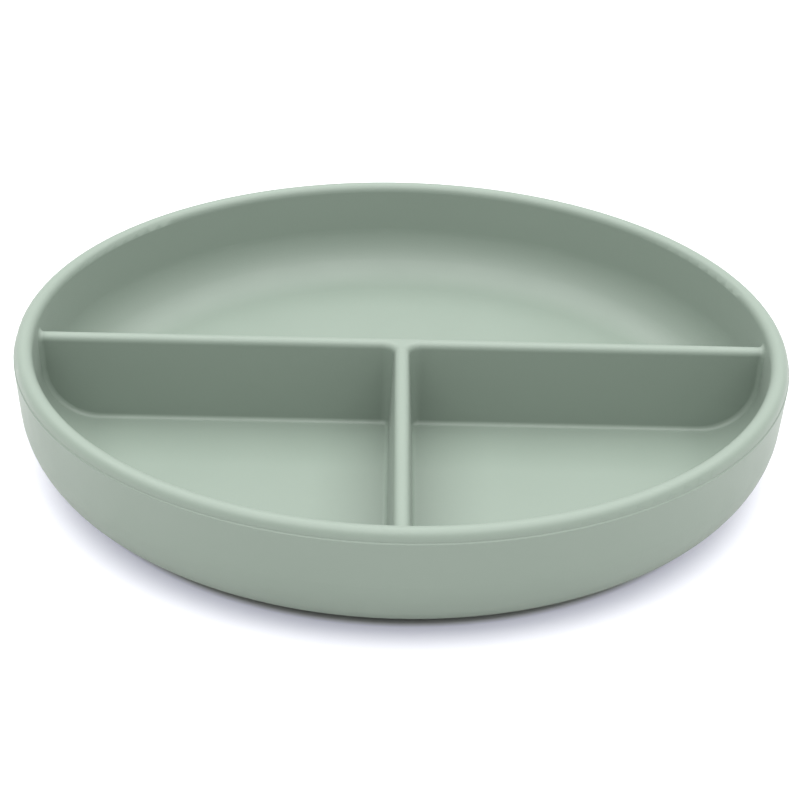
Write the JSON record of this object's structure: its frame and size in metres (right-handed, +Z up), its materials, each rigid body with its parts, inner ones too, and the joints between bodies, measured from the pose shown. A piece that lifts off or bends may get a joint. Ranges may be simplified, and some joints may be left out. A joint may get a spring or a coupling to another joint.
{
  "type": "divided suction plate",
  "caption": "Round silicone plate for a toddler, divided into a large and two small compartments, on a suction base with a release tab.",
  "frame": {"origin": "centre of the plate on the surface that it stands on", "axes": "+Z up, +X along the long divider, -Y to the front where the short divider ends, +Y to the release tab"},
  "size_m": [0.19, 0.19, 0.0308],
  "materials": {
    "silicone": "matte"
  },
  "bodies": {
    "plate": {"plate_body": "silicone", "suction_hub": "silicone"},
    "skirt": {"suction_skirt": "silicone"},
    "tab": {"release_tab": "silicone"}
  },
  "joints": [
    {"name": "skirt_press", "type": "slide", "parent": "plate", "child": "skirt", "axis": [0, 0, 1], "range_m": [0, 0.0007], "stiffness_N_per_m": 8000},
    {"name": "tab_lift", "type": "hinge", "parent": "skirt", "child": "tab", "pos_m": [0, 0.082, 0.00065], "axis": [1, 0, 0], "range_deg": [0, 25], "stiffness_Nm_per_rad": 0.02}
  ]
}
